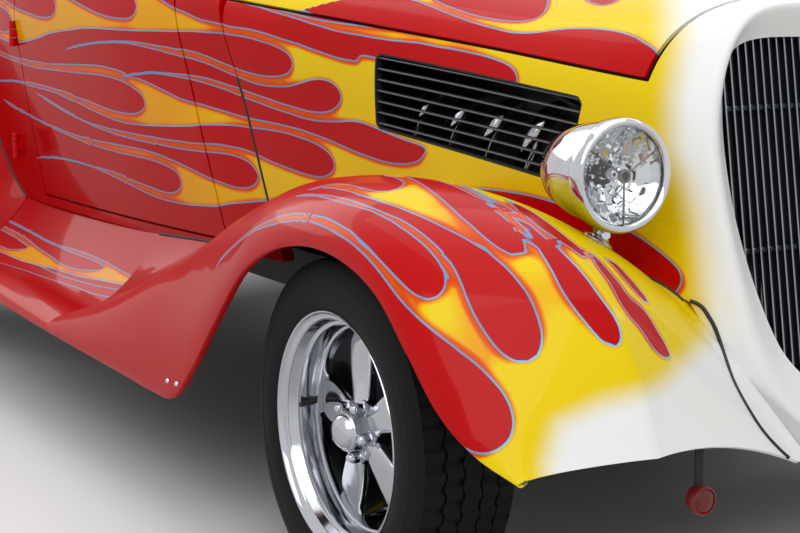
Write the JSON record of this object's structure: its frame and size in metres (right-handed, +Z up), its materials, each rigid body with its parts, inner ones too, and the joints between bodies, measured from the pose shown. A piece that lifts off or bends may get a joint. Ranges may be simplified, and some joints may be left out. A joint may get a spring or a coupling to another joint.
{
  "type": "hot rod car",
  "caption": "Lowered mid-thirties style three-window hot rod coupe with flared fenders, running boards, louvered hood sides, free headlamps and five-spoke wheels.",
  "frame": {"origin": "middle of the car's footprint on the floor", "axes": "+Z up, -Y to the nose, +X to the car's left"},
  "size_m": [1.7406, 3.9842, 1.445],
  "materials": {
    "red_paint": "deep red gloss, flames in yellow and orange on the real car",
    "polished_metal": "polished",
    "chrome": "bright plated",
    "black_metal": "satin black",
    "tyre_rubber": "matt black rubber",
    "clear_glass": "clear",
    "amber_lens": "amber lens",
    "red_lens": "red lens",
    "tan_leather": "smooth tan"
  },
  "bodies": {
    "chassis": {"cowl": "red_paint", "dashboard": "red_paint", "engine_block": "black_metal", "exhaust": "polished_metal", "firewall": "red_paint", "floor_pan": "black_metal", "frame": "black_metal", "front_axle": "black_metal", "front_fender_left": "red_paint", "front_fender_right": "red_paint", "fuel_tank": "black_metal", "grille_bars": "chrome", "headlamp_left": "chrome", "headlamp_right": "chrome", "nose": "red_paint", "radiator": "black_metal", "rear_axle": "black_metal", "rear_body": "red_paint", "rear_fender_left": "red_paint", "rear_fender_right": "red_paint", "rear_window": "clear_glass", "roof": "red_paint", "running_board_left": "red_paint", "running_board_right": "red_paint", "seat": "tan_leather", "steering_wheel": "black_metal", "tail_lamp_left": "red_lens", "tail_lamp_right": "red_lens", "turn_signal_left": "amber_lens", "turn_signal_right": "amber_lens", "windscreen": "clear_glass"},
    "wheel_front_left": {"rim_front_left": "polished_metal", "tyre_front_left": "tyre_rubber"},
    "wheel_front_right": {"rim_front_right": "polished_metal", "tyre_front_right": "tyre_rubber"},
    "wheel_rear_left": {"rim_rear_left": "polished_metal", "tyre_rear_left": "tyre_rubber"},
    "wheel_rear_right": {"rim_rear_right": "polished_metal", "tyre_rear_right": "tyre_rubber"},
    "steer_left": {"knuckle_left": "black_metal"},
    "steer_right": {"knuckle_right": "black_metal"},
    "steering_link": {"tie_rod": "black_metal"},
    "side_door_left": {"door_left": "red_paint", "door_glass_left": "clear_glass"},
    "side_door_right": {"door_right": "red_paint", "door_glass_right": "clear_glass"},
    "hood": {"hood_top": "red_paint"},
    "trunk_lid": {"deck_lid": "red_paint"}
  },
  "joints": [
    {"name": "steer_left", "type": "hinge", "parent": "chassis", "child": "steer_left", "pos_m": [0.6, -1.41232, 0.3], "axis": [0, 0, 1], "range_deg": [-30, 30]},
    {"name": "steer_right", "type": "hinge", "parent": "chassis", "child": "steer_right", "pos_m": [-0.6, -1.41232, 0.3], "axis": [0, 0, 1], "range_deg": [-30, 30]},
    {"name": "steering_link", "type": "hinge", "parent": "steer_left", "child": "steering_link", "pos_m": [0.58, -1.28732, 0.2522], "axis": [0, 0, 1], "range_deg": [-30, 30]},
    {"name": "spin_front_left", "type": "hinge", "parent": "steer_left", "child": "wheel_front_left", "pos_m": [0.71, -1.41232, 0.3], "axis": [1, 0, 0], "continuous": true},
    {"name": "spin_front_right", "type": "hinge", "parent": "steer_right", "child": "wheel_front_right", "pos_m": [-0.71, -1.41232, 0.3], "axis": [-1, 0, 0], "continuous": true},
    {"name": "spin_rear_left", "type": "hinge", "parent": "chassis", "child": "wheel_rear_left", "pos_m": [0.705, 1.43268, 0.355], "axis": [1, 0, 0], "continuous": true},
    {"name": "spin_rear_right", "type": "hinge", "parent": "chassis", "child": "wheel_rear_right", "pos_m": [-0.705, 1.43268, 0.355], "axis": [-1, 0, 0], "continuous": true},
    {"name": "door_left_swing", "type": "hinge", "parent": "chassis", "child": "side_door_left", "pos_m": [0.685, 0.55538, 0.9], "axis": [0, 0, 1], "range_deg": [0, 65]},
    {"name": "door_right_swing", "type": "hinge", "parent": "chassis", "child": "side_door_right", "pos_m": [-0.685, 0.55538, 0.9], "axis": [0, 0, -1], "range_deg": [0, 65]},
    {"name": "hood_lift", "type": "hinge", "parent": "chassis", "child": "hood", "pos_m": [0, -0.43032, 1.112], "axis": [-1, 0, 0], "range_deg": [0, 45]},
    {"name": "trunk_lift", "type": "hinge", "parent": "chassis", "child": "trunk_lid", "pos_m": [0, 1.24768, 1.0925], "axis": [1, 0, 0], "range_deg": [0, 60]}
  ],
  "couplings": [
    {"joint": "steer_right", "follows": "steer_left", "ratio": 1},
    {"joint": "steering_link", "follows": "steer_left", "ratio": -1}
  ]
}
